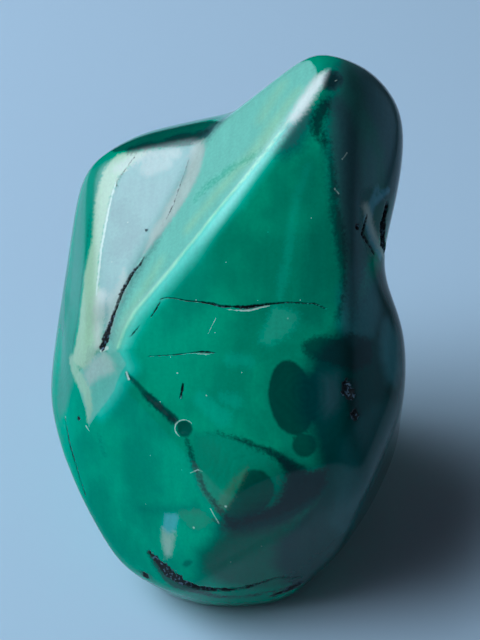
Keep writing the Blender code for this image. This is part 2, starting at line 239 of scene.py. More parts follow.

# Zones of other mineral in the green, of scuffed polish, and of painted highlights, reflections, sheen
# and shade: tone, strength, then the corners of an area, or the points of a line with its half widths,
# of which one alone is a round spot
ZONES = {
    # Pale mint of the flank: partly its own colour, partly painted light where it faces the window
    "pale flank beside the ridge, partly painted light": ("mint", 1.0, (*(point[:2] for point in CREST), (-64.5, 5.5),
        (-69, 6.5), (-80, 20.5), (-101.5, 37.5), (-127, 52), (-153.5, 58.5), (-163, 53.5), (-171.5, 52),
        (172, 50), (160, 52), (150, 58), (152, 57.5), (149, 58), (144.5, 60), (141, 61))),
    # Cream band: partly its own colour, partly painted reflection on the rim
    "cream band on the rim, partly painted reflection": ("cream", 0.9, ((-140.5, 33.5), (-134, 30.5), (-126.5, 28), (-114.5, 24.5),
        (-103, 18), (-94, 10.5), (-86, -0.5), (-82.5, -9.5), (-75, -7), (-72.5, -2.5), (-72.5, 7),
        (-82.5, 11.5), (-89.5, 18), (-98, 21), (-108, 25), (-119, 29), (-128.5, 32), (-135.5, 34.5),
        (-142, 38), (-148, 41.5))),
    # Pale corner: partly its own colour, partly the painted end of the ridge's highlight
    "pale corner, partly painted highlight": ("mint", 0.75, ((-64, 9), (-58, 5.5), (-58, -7), (-62.5, -19), (-64, -24),
        (-67.5, -19.5), (-72.5, -15.5), (-78, -11.5), (-72, 3.5))),
    # Cream corner: partly its own colour, partly painted highlight
    "cream heart of the corner, partly painted highlight": ("cream", 0.7, ((-83, -9, 0.9), (-76, -11, 1.2), (-70, -13.5, 1.0),
        (-66.5, -18, 0.7), (-65.5, -22, 0.4))),
    "brown beside the head pit": ("brown", 0.85, ((128.5, 63, 0.6), (126, 63.5, 0.75), (126.5, 64.5, 0.7),
        (122.5, 64.5, 0.75), (114.5, 62.5, 0.45))),
    # Slate side of the head: partly its own colour, partly painted shade
    "slate side of the head, partly painted shade": ("slate", 0.75, ((126, 62.5), (135, 60), (142, 54), (141, 44), (134, 36),
        (124, 31), (112, 30), (100, 33), (93, 37.5), (81.5, 37), (70.5, 33), (59.5, 29), (62, 36),
        (113, 62.5), (120.5, 63.5))),
    "dark edge of the front slope": ("brown", 0.65, ((123, 64.5, 0.15), (116, 63, 0.25), (109, 61.5, 0.3),
        (99.5, 59.5, 0.4), (91.5, 57.5, 0.55), (84.5, 54, 0.7), (78, 50, 0.7), (71.5, 45.5, 0.4),
        (64.5, 39, 0.3), (55, 32.5, 0.3))),
    "pale streak down the slope": ("speckle", 0.45, ((112.5, 66, 0.3), (102.5, 67.5, 0.4),
        (82.5, 67, 0.5), (64, 62.5, 0.6), (49.5, 57, 0.6), (41.5, 51, 0.4))),
    "pale patch under the crack": ("speckle", 0.7, ((34.5, 49.5), (42.5, 44.5), (45, 40), (40, 35.5),
        (32.5, 33), (24.5, 31.5), (18.5, 34))),
    "upper speckled patch": ("speckle", 0.45, ((0.5, 26, 0.7), (11, 24.5, 0.8))),
    "lower speckled patch": ("speckle", 0.45, ((-3.5, 7, 0.7), (3, 7, 0.9))),
    "speckled patch by the seam": ("speckle", 0.45, ((-14.5, 3.5, 1.0), (-3, 0, 1.3))),
    "dark eye": ("deep", 0.95, oval(25.8, 11.3, 8.1, 12.3, 3.2, range(0, 360, 20))),
    "small eye below it": ("deep", 0.85, ((25, -3, 1.55),)),
    "dark mottled zone": ("brown", 0.7, ((39.5, 29), (45.5, 29.5), (51, 26), (56.5, 25.5), (62.5, 18),
        (58, 12.5), (49.5, 13.5), (41.5, 20.5), (38, 23.5), (37.5, 26))),
    "vein between the eyes": ("brown", 0.75, ((-4.5, -5, 0.06), (6.5, -4.5, 0.14), (10.5, -5.5, 0.2),
        (14, -5.5, 0.28), (17, -7.5, 0.5), (19, -9, 0.8), (21.5, -11, 1.0))),
    "lower eye": ("deep", 0.85, ((5.5, -11.5), (8.5, -10.5), (11, -10.5), (13, -12), (14, -14), (14, -17),
        (12.5, -19.5), (10, -22), (6.5, -24), (2.5, -24.5), (-1, -25.5), (-2.5, -25.5), (-0.5, -21.5))),
    "clouded patch": ("murky", 0.65, ((-15, -8.5), (-6, -5.5), (4, -4.5), (11.5, -5.5), (15.5, -7.5),
        (17, -11), (15.5, -14), (14, -11), (10, -10), (6.5, -11), (3.5, -14.5), (-3.5, -24), (-7, -24),
        (-11, -22.5), (-13.5, -18.5))),
    "tan rim of the lower eye": ("tan", 0.45, ((5.5, -11.5, 0.4), (3, -14.5, 0.7), (0, -18.5, 0.8),
        (-3, -23, 0.55))),
    "left vein": ("brown", 0.8, ((-17.5, -11.5, 0.3), (-12, -18, 0.45), (-8.5, -21, 0.45), (-1, -24, 0.4),
        (2, -26.5, 0.4))),
    "tan patch": ("tan", 0.35, ((-18, -31.5), (-12, -28), (-7.5, -26), (-4.5, -26.5), (-6.5, -29.5),
        (-10.5, -32.5), (-15, -33.5), (-18, -33))),
    "thin vein": ("shade", 0.6, ((-34, -37.5, 0.05), (-26.5, -35.5, 0.08), (-10.5, -27, 0.12))),
    "seam": ("deep", 0.85, ((-55.5, 2, 0.25), (-49, 0, 0.4), (-41.5, -3, 0.5), (-25.5, -7, 0.6))),
    "inside of the ring": ("deep", 0.9, ((-19.5, -8.5, 1.15),)),
    "faint dots": ("brown", 0.45, ((-59, -25, 0.15), (-57.5, -26.5, 0.15))),
    "more faint dots": ("brown", 0.45, ((-56, -28.5, 0.12), (-54.5, -29.5, 0.12))),
    # Painted highlight on a convex corner: its bluish top
    "painted highlight low on the left, blue part": ("painted bluish sheen", 0.45, ((-23.5, -35), (-19, -33), (-17.5, -32.5), (-18, -36), (-21, -38),
        (-23.5, -38))),
    "smudge above the cleft": ("deep", 0.6, ((-14, -40, 0.4), (-12, -38.5, 0.4))),
    "teal oval on the right": ("teal", 0.8, ((71.5, 19.5), (75, 18), (74, 13), (71.5, 8), (67, 3.5),
        (62.5, 1.5), (60.5, 4), (62, 10), (66, 16))),
    "teal patch below the waist": ("teal", 0.6, ((73, 43), (80.5, 39.5), (80.5, 30), (73.5, 23), (65, 19),
        (54.5, 22.5), (53.5, 30), (62.5, 39.5))),
    "large teal patch": ("teal", 0.18, ((42, 1.5), (50.5, 2), (58.5, -1.5), (62, -8), (40, -32),
        (33.5, -32), (30, -27), (30.5, -18), (32, -10), (34, -3.5), (37, -0.5))),
    "dark round the pits": ("brown", 0.6, ((45, 10, 1.3), (44, 6, 0.7), (42.5, 3, 0.8))),
    "flecks near the foot": ("brown", 0.9, ((25.5, -44, 0.12), (27, -43, 0.25), (29, -42, 0.12))),
    # Dark green top of the shoulder: partly its own colour, partly painted shade
    "dark green top of the shoulder, partly painted shade": ("deep", 0.85, ((-140.5, 32.5), (-156, 47), (-164, 51.5), (-170, 53),
        (-176, 51), (-173, 46.5), (-166, 42.5), (-159, 39), (-152, 35.5), (-146, 32.5), (-141, 30))),
    "line beside the cream band": ("deep", 0.7, ((-122, 25.5, 0.1), (-111, 21, 0.1), (-100.5, 13.5, 0.12),
        (-90.5, 2, 0.12), (-85, -6, 0.1))),
    "dust in the valley": ("slate", 0.6, ((-178.5, 51.5, 0.5), (-170.5, 52, 0.5), (-146.5, 55, 0.3),
        (-107.5, 46, 0.35), (-86.5, 29, 0.35), (-72.5, 12, 0.35))),
    # Painted sheen on the scuffed edge of the pocket
    "painted sheen on the scuffed edge of the pocket": ("painted bluish sheen", 0.45, ((105, 45.5, 0.3), (99.5, 45.5, 0.6), (93.5, 45, 0.75),
        (90.5, 40, 0.8), (90, 33.5, 0.6))),
    # Left side: partly its own colour, partly painted reflection of the floor
    "left side": ("left green", 0.85, ((-131, 23.5), (-127, 19.5), (-119, 14), (-98.5, -3), (-83.5, -26),
        (-79.5, -28), (-77.5, -24), (-78, -13.5), (-94.5, 8.5), (-102.5, 16.5), (-114, 23.5),
        (-126, 27.5), (-133, 30), (-139.5, 32.5))),
    # Painted highlight: pale turquoise fading to the right of the crest
    "painted highlight right of the crest": ("glow", 1.0, ((138, 67, 0.35), (140, 72, 0.5), (142, 74, 0.7),
        (164.5, 83.5, 0.9), (-76, 70.5, 0.95), (-69, 30, 0.85), (-66.5, 20, 0.8), (-63.5, 11, 0.7))),
    # Painted highlight along the crest of the ridge
    "painted highlight along the crest": ("crest", 0.9, CREST),
    # Painted reflection: beige strip beside the valley
    "painted beige reflection beside the valley": ("pale", 0.75, ((-167.5, 52.5), (-166, 55.5), (-160, 59.5),
        (-147.5, 61), (-106, 42), (-118, 45.5), (-140.5, 52), (-151.5, 53.5), (-159, 52),
        (-162.5, 50.5))),
    # Painted reflection: grey at the valley's end
    "painted grey reflection at the valley's end": ("pale", 0.6, ((-69.5, 5.5), (-64, 4.5), (-60.5, 0.5), (-65.5, -4),
        (-70, -11), (-74, -8), (-73, -1))),
    # Shelf tone: partly its own colour, partly painted reflection of the window
    "polished shelf, partly painted reflection": ("shelf", 0.85, ((-89.5, 18), (-98, 21), (-108, 25), (-119, 29), (-128.5, 32),
        (-135.5, 34.5), (-142, 38), (-148, 41), (-153, 45), (-166, 52), (-166, 55.5), (-160, 59.5),
        (-147.5, 61), (-104, 40.5), (-73.5, 12), (-77.5, 11))),
    # Painted shade over the right part of the eye
    "painted shade on the right part of the eye": ("shade", 1.0, ((32.5, 18), (40, 20.5), (41, 14), (36, 6), (31, 0.5),
        (26.5, 0.5), (26.5, 6), (28.5, 12))),
    "green ring round the small eye": ("murky", 0.6, ((20, -1, 0.3), (20, -4.5, 0.35), (22, -7, 0.4),
        (25, -7.5, 0.4), (27.5, -6, 0.35), (30, -3, 0.25))),
    "slate beside the pits": ("slate", 0.6, ((39, 16), (44, 16), (42, 10), (37.5, 6), (33.5, 4),
        (35.5, 9.5))),
    "dark mass below the eyes": ("shade", 1.0, ((18, -6.5), (21.5, -9), (26, -9), (31, -7), (31.5, -10),
        (30.5, -15.5), (27.5, -20), (21.5, -25), (14.5, -28.5), (6.5, -29), (-0.5, -28.5), (-4.5, -28.5),
        (-2, -24.5), (9, -21), (13, -19), (16, -15), (17.5, -11))),
    "black heart of the mass": ("brown", 0.85, ((18, -10), (22, -10.5), (29.5, -8.5), (29, -12.5),
        (26, -17), (20, -21), (13, -24.5), (-1, -26.5), (-4.5, -26.5), (10, -22.5), (14.5, -19.5),
        (17, -15))),
    # Painted highlight on a convex corner: its white bottom
    "painted highlight low on the left, white part": ("pale", 0.55, ((-23.5, -38), (-21, -38), (-18, -36), (-19, -40.5),
        (-21, -42), (-22.5, -40.5))),
    "cleft's ragged rim": ("brown", 0.8, ((-27.5, -43.5, 0.5), (-23.5, -44, 1.0), (-20, -44, 1.3),
        (-17, -44, 1.4), (-13, -44, 1.0), (-9.5, -45.5, 0.7), (-3, -49.5, 0.5), (5, -51, 0.4),
        (19.5, -49.5, 0.3))),
    "dark blot by the foot": ("brown", 0.9, ((15, -52, 0.45), (19, -51, 0.85), (22, -49.5, 0.95),
        (23.5, -48, 0.6))),
    "left blot by the foot": ("brown", 0.6, ((-32.5, -48.5, 0.2), (-29, -47.5, 0.5), (-26, -47, 0.3))),
    # Dark core of the head: partly its own colour, partly painted shade
    "dark core of the head, partly painted shade": ("shade", 0.9, ((127.5, 62, 0.8), (121, 60, 1.4), (114.5, 58, 1.8),
        (107.5, 57, 2.0), (100, 54.5, 2.0), (92, 52, 1.8), (84.5, 48, 1.5), (77, 43, 1.4), (67, 37, 1.2),
        (57.5, 31, 1.0))),
    # Painted reflection: blue grey on the ridge below the head
    "painted blue grey reflection on the ridge": ("slate", 0.8, ((132, 65.5, 1.0), (130.5, 67, 1.4),
        (129.5, 68.5, 1.3), (129.5, 70.5, 0.8))),
    # Painted highlight: white at the start of the ridge
    "painted highlight at the start of the ridge": ("pale", 0.95, ((137, 62, 0.7), (136.5, 63, 0.95), (137, 65.5, 0.95),
        (137.5, 67, 0.7))),
    "dark cap of the head": ("shade", 0.5, ((137, 60.5, 1.2), (130.5, 59.5, 1.5), (126.5, 56.5, 1.5),
        (123, 52.5, 1.2))),
    "soft polish of the ridge": ("scuff", 0.22, ((138, 67, 0.4), (148.5, 78.5, 0.9), (164.5, 83.5, 1.0),
        (-88.5, 80, 1.0), (-69, 30, 0.9))),
    "scuffed waist": ("scuff", 0.55, ((100, 51), (104, 47.5), (104.5, 42), (101.5, 38), (95.5, 38),
        (90, 36), (84, 38), (87, 43.5), (93, 48.5))),
    # Painted sheen at the waist
    "pale sheen of the waist": ("pale", 0.75, ((97, 47.5, 0.5), (92.5, 41, 0.6), (91.5, 37, 0.5),
        (92.5, 32, 0.35))),
    "shaded right side": ("shade", 0.97, ((64.5, 34.5), (50, 28.5), (39, 24), (35, 18.5), (27.5, 1.5),
        (27, -8), (25, -16), (20, -24.5), (14.5, -31.5), (14, -39), (19.5, -49.5), (30, -52), (60, -52),
        (90, -45), (110, -25), (112, 0), (106, 20), (98, 30), (84, 33), (70, 33))),
    "shaded belly": ("bottle green", 0.9, ((-10.5, -36), (-5, -30.5), (3.5, -24.5), (12, -27.5),
        (19, -25), (20.5, -48.5), (11, -49), (-0.5, -45.5))),
    # Painted shade over the right of the slope
    "painted shade on the right of the slope": ("shade", 0.3, ((121.5, 67.5), (111.5, 64), (94, 59), (64, 39.5),
        (49, 32.5), (39.5, 35), (80, 62.5), (102.5, 67.5))),
    # Painted reflection: bluish rim of the head
    "painted reflection on the rim of the head": ("teal", 0.9, ((120, 52), (114, 46.5), (106.5, 42), (101.5, 42.5), (110, 36),
        (122, 38), (132, 44), (136, 52), (131, 57))),
    # Painted reflection of the window at the shelf's top
    "painted reflection at the top of the shelf": ("pale", 0.45, ((-144, 42, 1.4), (-149.5, 46, 1.2))),
    # Painted reflection of the window at the shelf's low end
    "painted reflection at the low end of the shelf": ("pale", 0.6, ((-88, 19.5), (-93, 27), (-100.5, 31.5), (-90.5, 31),
        (-82, 22.5), (-73, 13.5), (-74, 10.5))),
    "head pit": ("deep", 1.0, ((131.5, 61.5, 1.5),)),
    # Yellow green beside the crest: partly its own colour, partly painted sheen
    "yellow green beside the crest, partly painted sheen": ("yellow green", 0.6, ((144.5, 63.5, 0.5), (146.5, 65, 0.8),
        (151, 70, 1.0), (157.5, 72.5, 0.9), (167.5, 74, 0.8), (-112.5, 70, 0.5))),
    "yellow green patch of the flank": ("yellow green", 0.45, ((155.5, 60.5, 0.8), (157.5, 62, 0.9),
        (160, 64.5, 0.8))),
    "fold across the flank": ("speckle", 0.55, ((147, 72.5, 0.3), (-179, 72, 0.6), (-160, 69.5, 0.55),
        (-145.5, 66.5, 0.4))),
    "foot of the flank": ("yellow green", 0.5, ((-91, 52.5, 0.6), (-79.5, 41, 0.7), (-74, 30, 0.8),
        (-70, 19.5, 0.7), (-67, 12, 0.5))),
    "speckled top of the shoulder": ("brown", 0.75, ((-143.5, 36, 0.6), (-148, 39.5, 0.7),
        (-152.5, 43, 0.5), (-159, 46, 0.9), (-163.5, 49, 0.8), (-169.5, 51, 0.6))),
    "grey end of the shoulder's top": ("slate", 0.8, ((-168.5, 52, 1.0), (-174, 52, 1.0),
        (-178.5, 52, 0.8))),
    # Painted reflection of the window at the shelf's start
    "painted reflection at the start of the shelf": ("pale", 0.6, ((-137, 34, 0.7), (-141, 37, 0.9), (-145.5, 40, 0.9),
        (-155, 48, 0.8))),
    # Painted reflection: pale strip beside the valley's crack
    "painted reflection in a strip beside the crack": ("pale", 0.75, ((-90.5, 19, 0.9), (-80, 10, 1.0), (-74.5, 7, 0.9))),
    "green rim of the shoulder": ("left green", 0.8, ((-136.5, 31, 0.8), (-131.5, 29, 0.9),
        (-124.5, 26.5, 0.9), (-101, 16, 0.7))),
    # Painted highlight round the corner at the foot of the ridge
    "painted highlight round the corner": ("glow", 0.8, ((-63.5, 10, 0.9), (-56, 4.5, 0.9), (-57.5, -7.5, 0.6),
        (-61.5, -18.5, 0.4))),
    "dark of the seam": ("brown", 0.8, ((-42.5, -3, 0.35), (-33.5, -5.5, 0.5), (-25.5, -7.5, 0.5))),
    # Painted sheen: second streak at the waist
    "second painted sheen of the waist": ("painted bluish sheen", 0.6, ((100.5, 45, 0.5), (103.5, 43.5, 0.5), (107, 41, 0.4))),
    # Painted reflection: bluish grey rim of the shoulder
    "painted reflection on the rim of the shoulder": ("teal", 0.4, ((-137, 26, 0.7), (-146, 30.5, 0.8), (-152, 33.5, 0.8),
        (-160, 37.5, 0.8), (-168, 41.5, 0.8), (-176, 45.5, 0.7))),
    "heart of the head pit": ("brown", 0.85, ((131.5, 61.5, 1.0),)),
    "green cap of the head": ("speckle", 0.3, ((141.5, 60.5, 0.8), (137, 60.5, 0.9))),
    # Painted reflection: duller clouds in the mirrored window on the shelf
    "darker painted reflection on the shelf": ("slate", 0.22, ((-125.5, 34.5, 1.6), (-117, 38.5, 1.4),
        (-109.5, 31.5, 1.6))),
    # Painted reflection: lilac at the valley's end
    "painted lilac reflection at the valley's end": ("slate", 0.3, ((-71.5, 1, 1.6), (-72, -6, 1.2))),
    "eye on the back": ("deep", 0.8, oval(-158, -14, 11, 13, 0, range(0, 360, 30))),
    "ring round the back eye": ("murky", 0.7, oval(
        -158, -14, 15, 17, 0, range(-60, 241, 30), (0.35,) * 11)),
    "pale band on the back": ("speckle", 0.6, ((148, 46, 0.4), (158, 36, 0.9), (168, 25, 1.2),
        (178, 14, 1.0), (-174, 4, 0.7))),
    "vein on the back": ("brown", 0.7, ((128, 26, 0.2), (136, 10, 0.4), (146, -6, 0.35), (158, -20, 0.5),
        (-172, -38, 0.3))),
    "dark cloud on the back": ("bottle green", 0.7, ((112, -2), (126, 4), (140, -2), (158, -28),
        (150, -42), (128, -44), (108, -34))),
    "cream streak on the back": ("cream", 0.65, ((-148, 24, 0.3), (-143, 14, 0.6), (-139, 2, 0.7),
        (-137, -10, 0.5), (-140, -20, 0.3))),
    "teal patch on the back": ("teal", 0.35, ((176, 44), (-176, 40), (-168, 30), (-172, 20), (176, 24),
        (168, 34))),
    "dark streak on the right": ("murky", 0.6, ((120, 30, 0.6), (116, 12, 0.9), (112, -4, 0.8),
        (110, -20, 0.6))),
    "thin part of the vein between the eyes": ("deep", 0.85, ((-10, -6.5, 0.08), (6, -4.5, 0.2),
        (11.5, -5, 0.25), (16, -6, 0.4), (22, -10, 1.0))),
    # Painted reflection: bluish light right of the neck
    "painted reflection right of the neck": ("teal", 0.55, ((112.5, 51.5, 1.0), (107.5, 49, 1.1), (102, 47.5, 1.0),
        (96, 50, 0.8))),
}

# Growth centres of faint rings: heading, tilt, spread
GROWTH_CENTRES = (
    (30.5, 10, 7.0),
    (7.5, -14, 6.0),
    (-100, -12, 9.0),
    (160, 10, 10.0),
    (-150, -20, 8.0),
    (110, -20, 8.0),
)

# Fineness of the skin: sphere levels, bands in mm round its marks that are split once more each,
# and steps in mm along a path
SPHERE_LEVELS = 7
SPLIT_BANDS = (0.9, 0.35)
PATH_STEP = 1.0

# Distance in mm beyond which a mark no longer shows
FAR = 20.0

# Radius in mm that stands for no foot below a ray, the least downward share of a ray that reaches
# it, and the height in mm up to which the skin is laid level on it
NO_FOOT = 1000.0
LEAST_DOWN = 0.05
FOOT_SNAP = 0.01

# Least share of a ray towards an area's middle, and how rounded the section of a groove is
LEAST_FACING = 0.001
BOWL_POWER = 1.5

# Depth in mm up to which a groove or pit holds no earth and keeps the colour of the stone
FAINT_DEPTH = 0.13

# Waves that make an irregular value: directions as heading and tilt, length of the first as a share
# of the wavelength, what each next one adds to that and to the start, and height of the sum
RIPPLE_DIRECTIONS = ((10, 20), (82, -35), (155, 50), (226, -10), (301, 65), (40, -70))
RIPPLE_LENGTH = 0.7
RIPPLE_GROWTH = 0.14
RIPPLE_START = 1.7
RIPPLE_HEIGHT = 1.6

# Ragged edges of cracks and pits: wavelength in mm, and share of the half width
RAGGED_EDGE = ((1.3, 0.2), (0.6, 0.25))


def linear(code):
    """Linear colour of an sRGB hex code."""
    parts = [int(code[start:start + 2], 16) / 255.0 for start in (0, 2, 4)]
    bright = [((part + 0.055) / 1.055) ** 2.4 if part > 0.04045 else part / 12.92 for part in parts]
    return (*bright, 1.0)


def direction(heading, tilt):
    """Unit vectors for headings and tilts in degrees."""
    turn = np.radians(np.asarray(heading, dtype=float))
    rise = np.radians(np.asarray(tilt, dtype=float))
    parts = (np.sin(turn) * np.cos(rise), -np.cos(turn) * np.cos(rise), np.sin(rise))
    return np.stack(parts, axis=-1)


def ripple(points, wavelength):
    """Irregular smooth value between -1 and 1 for each point."""
    total = np.zeros(len(points))
    for number, (heading, tilt) in enumerate(RIPPLE_DIRECTIONS):
        reach = wavelength * (RIPPLE_LENGTH + RIPPLE_GROWTH * number)
        start = RIPPLE_START * number
        total += np.sin(2.0 * np.pi * (points @ direction(heading, tilt)) / reach + start)
    return total / len(RIPPLE_DIRECTIONS) * RIPPLE_HEIGHT


def smooth_max(first, second, band):
    """The larger of two values, rounded over where they are within the band."""
    overlap = np.clip(band - np.abs(first - second), 0.0, None) / band
    return np.maximum(first, second) + overlap * overlap * band / 4.0


def face_radius(rays, faces):
    """Distance along each ray to the body that the faces enclose, with softened edges."""
    normals = direction([face[0] for face in faces], [face[1] for face in faces])
    reach = np.clip(rays @ normals.T, 0.0, None) / np.array([face[2] for face in faces])
    nearest = reach.max(axis=1, keepdims=True)
    total = ((reach / nearest) ** EDGE_POWER).sum(axis=1) ** (1.0 / EDGE_POWER)
    return 1.0 / (nearest[:, 0] * total)


def body_radius(rays):
    """Peak and shoulder joined in a valley, with the waist hollowed out and the swells added."""
    peak = face_radius(rays, PEAK_FACES + SHARED_FACES)
    shoulder = face_radius(rays, SHOULDER_FACES + SHARED_FACES)
    joined = smooth_max(peak, shoulder, VALLEY_BLEND)
    heading, tilt, depth, spread = WAIST_HOLLOW
    angle = np.degrees(np.arccos(np.clip(rays @ direction(heading, tilt), -1.0, 1.0)))
    radius = joined - depth * np.exp(-(angle / spread) ** 2)
    points = rays * radius[:, None]
    for heading, tilt, wavelength, height, start in SWELLS:
        turns = points @ direction(heading, tilt) / wavelength + start / 360.0
        radius = radius + height * np.sin(2.0 * np.pi * turns)
    return radius


def on_body(rays):
    """Points of the body along rays of any length."""
    rays = rays / np.linalg.norm(rays, axis=1)[:, None]
    return rays * body_radius(rays)[:, None]


def path_points(path):
    """Closely set points of a path on the body, with their half widths."""
    corners = on_body(direction([point[0] for point in path], [point[1] for point in path]))
    halves = [point[2] for point in path]
    points, widths = [corners[0]], [halves[0]]
    for start, end, first, last in zip(corners[:-1], corners[1:], halves[:-1], halves[1:]):
        steps = max(1, int(np.ceil(np.linalg.norm(end - start) / PATH_STEP)))
        for step in range(1, steps + 1):
            points.append(start + (end - start) * step / steps)
            widths.append(first + (last - first) * step / steps)
    return on_body(np.array(points)), np.array(widths)


def path_distance(points, path):
    """Distance of each point from a path's line, and the half width there."""
    corners, halves = path_points(path)
    best = np.full(len(points), np.inf)
    width = np.full(len(points), halves[0])
    if len(corners) == 1:
        return np.linalg.norm(points - corners[0], axis=1), width
    for start, end, first, last in zip(corners[:-1], corners[1:], halves[:-1], halves[1:]):
        along = end - start
        share = np.clip((points - start) @ along / (along @ along), 0.0, 1.0)
        gap = np.linalg.norm(points - start - share[:, None] * along, axis=1)
        closer = gap < best
        best = np.where(closer, gap, best)
        width = np.where(closer, first + (last - first) * share, width)
    return best, width


def area_distance(points, corners):
    """Distance of each point outside an area on the body, negative inside it."""
    outline = [(heading, tilt, 0.0) for heading, tilt in (*corners, corners[0])]
    gap = path_distance(points, outline)[0]
    rays = direction([corner[0] for corner in corners], [corner[1] for corner in corners])
    middle = rays.mean(axis=0)
    middle /= np.linalg.norm(middle)
    side = np.cross((0.0, 0.0, 1.0), middle)
    side /= np.linalg.norm(side)
    frame_axes = np.stack((side, np.cross(middle, side)), axis=1)
    facing = points @ middle
    flat = points @ frame_axes / np.maximum(facing, LEAST_FACING)[:, None]
    edge = rays @ frame_axes / (rays @ middle)[:, None]
    inside = np.zeros(len(points), dtype=bool)
    for first, last in zip(edge, np.roll(edge, -1, axis=0)):
        spans = (first[1] > flat[:, 1]) != (last[1] > flat[:, 1])
        rise = last[1] - first[1] if last[1] != first[1] else 1.0
        crossing = first[0] + (flat[:, 1] - first[1]) * (last[0] - first[0]) / rise
        inside ^= spans & (flat[:, 0] < crossing)
    return np.where(inside & (facing > 0.0), -gap, gap)


def zone_distance(points, outline):
    """Distance of each point outside a line or an area, negative inside it."""
    if len(outline[0]) == 2:
        return area_distance(points, outline)
    gap, width = path_distance(points, outline)
    return gap - width


def bowl(distance, reach):
    """Cross-section of a groove or pit: 1 in the middle, level with the skin at its reach."""
    return np.clip(1.0 - (distance / reach) ** 2, 0.0, None) ** BOWL_POWER


def flaws(points):
    """Depth of the flaws at each point, and the distance from the edge of the nearest that holds earth."""
    depths = np.zeros(len(points))
    nearest = np.full(len(points), np.inf)
    paths = list(GROOVES.values())
    paths += [(depth, ((heading, tilt, reach),)) for heading, tilt, reach, depth in PITS.values()]
    ragged = np.ones(len(points))
    for wavelength, share in RAGGED_EDGE:
        ragged += share * ripple(points, wavelength)
    for depth, path in paths:
        gap, width = path_distance(points, path)
        width = width * ragged
        depths = np.maximum(depths, depth * bowl(gap, width))
        if depth > FAINT_DEPTH:
            nearest = np.minimum(nearest, gap - width)
    return depths, nearest


def chip_distance(points):
    """Distance of each point from the nearest chip, scratch, speck or painted rim highlight."""
    nearest = np.full(len(points), np.inf)
    for path in (*CHIPS_AND_RIM_HIGHLIGHTS.values(), *((speck,) for speck in SPECKS)):
        nearest = np.minimum(nearest, zone_distance(points, path))
    return nearest


def stone_radius(rays):
    """The finished radius: the body, less its cracks and pits, cut level at the foot."""
    radius = body_radius(rays)
    radius = radius - flaws(rays * radius[:, None])[0]
    down = np.maximum(-rays[:, 2], LEAST_DOWN)
    floor = np.where(rays[:, 2] < -LEAST_DOWN, CENTRE_HEIGHT / down, NO_FOOT)
    return -smooth_max(-radius, -floor, FOOT_BLEND)


def vertex_rays(mesh):
    """Unit directions of the vertices of a bmesh."""
    rays = np.array([vertex.co[:] for vertex in mesh.verts])
    return rays / np.linalg.norm(rays, axis=1)[:, None]


def split_near_flaws(mesh, band):
    """Halve the edges that lie within the band around the grooves, pits and chips."""
    points = on_body(vertex_rays(mesh))
    near = np.minimum(flaws(points)[1], chip_distance(points)) < band
    mesh.verts.ensure_lookup_table()
    mesh.verts.index_update()
    edges = [edge for edge in mesh.edges if near[edge.verts[0].index] and near[edge.verts[1].index]]
    bmesh.ops.subdivide_edges(mesh, edges=edges, cuts=1, use_grid_fill=True)
    bmesh.ops.triangulate(mesh, faces=mesh.faces[:])


def store(data, name, values):
    """Keep one number for each vertex under a name that the material reads."""
    attribute = data.attributes.new(name, "FLOAT", "POINT")
    attribute.data.foreach_set("value", np.asarray(values, dtype=np.float32))


def mark_zones(data, points):
    """Store the distance from each tone's zones, the growth rings and the distance from flaws."""
    nearest = {tone[0]: np.full(len(points), FAR) for tone in (*TONES, ("scuff",))}
    strengths = {tone: np.zeros(len(points)) for tone in nearest}
    for tone, strength, outline in ZONES.values():
        gap = zone_distance(points, outline)
        strengths[tone] = np.where(gap < nearest[tone], strength, strengths[tone])
        nearest[tone] = np.minimum(gap, nearest[tone])
    nearest["flaw"], nearest["chip"] = flaws(points)[1], chip_distance(points)
    for tone, gap in nearest.items():
        store(data, tone, np.clip(gap, -FAR, FAR))
        store(data, f"{tone} strength", strengths.get(tone, np.ones(len(points))))
    share = np.full(len(points), FAR)
    rings = np.zeros(len(points))
    for heading, tilt, spread in GROWTH_CENTRES:
        gap = np.linalg.norm(points - on_body(direction([heading], [tilt])), axis=1)
        rings = np.where(gap / spread < share, gap, rings)
        share = np.minimum(share, gap / spread)
    store(data, "ring distance", rings)
    store(data, "ring strength", np.exp(-share ** 2))


def stone_data():
    """The skin as a closed triangle mesh in metres, foot on z = 0, with its marks stored."""
    mesh = bmesh.new()
    bmesh.ops.create_icosphere(mesh, subdivisions=SPHERE_LEVELS, radius=1.0)
    for band in SPLIT_BANDS:
        split_near_flaws(mesh, band)
    rays = vertex_rays(mesh)
    points = rays * stone_radius(rays)[:, None]
    body = on_body(rays)
    data = bpy.data.meshes.new("polished_stone")
    mesh.to_mesh(data)
    mesh.free()
    mark_zones(data, body)
    middle = (points.min(axis=0) + points.max(axis=0)) / 2.0
    places = (points - (middle[0], middle[1], -CENTRE_HEIGHT)) * MM
    places[places[:, 2] < FOOT_SNAP * MM, 2] = 0.0
    data.vertices.foreach_set("co", places.ravel())
    data.update()
    data.shade_smooth()
    return data


def add_node(tree, kind, settings=None, inputs=None):
    """Add a node, set its properties, and give its inputs values or links."""
    node = tree.nodes.new(kind)
    for name, value in (settings or {}).items():
        setattr(node, name, value)
    for name, value in (inputs or {}).items():
        if isinstance(value, bpy.types.NodeSocket):
            tree.links.new(value, node.inputs[name])
        else:
            node.inputs[name].default_value = value
    return node


# Settings that several nodes share
MIX_COLOURS = {"data_type": "RGBA"}
SMOOTH_STEP = {"interpolation_type": "SMOOTHSTEP"}
MULTIPLY = {"operation": "MULTIPLY"}
MULTIPLY_ADD = {"operation": "MULTIPLY_ADD"}

# Noises of the green, as clouds of growth, patches and grain: size in mm, detail
NOISES = ((9.0, 3.0), (2.2, 4.0), (0.4, 4.0))

# Ranges of the clouds over which the green darkens, and of the grain over which grit shows in earth
CLOUD_RANGE = (0.38, 0.62)
GRIT_RANGE = (0.04, 0.12)

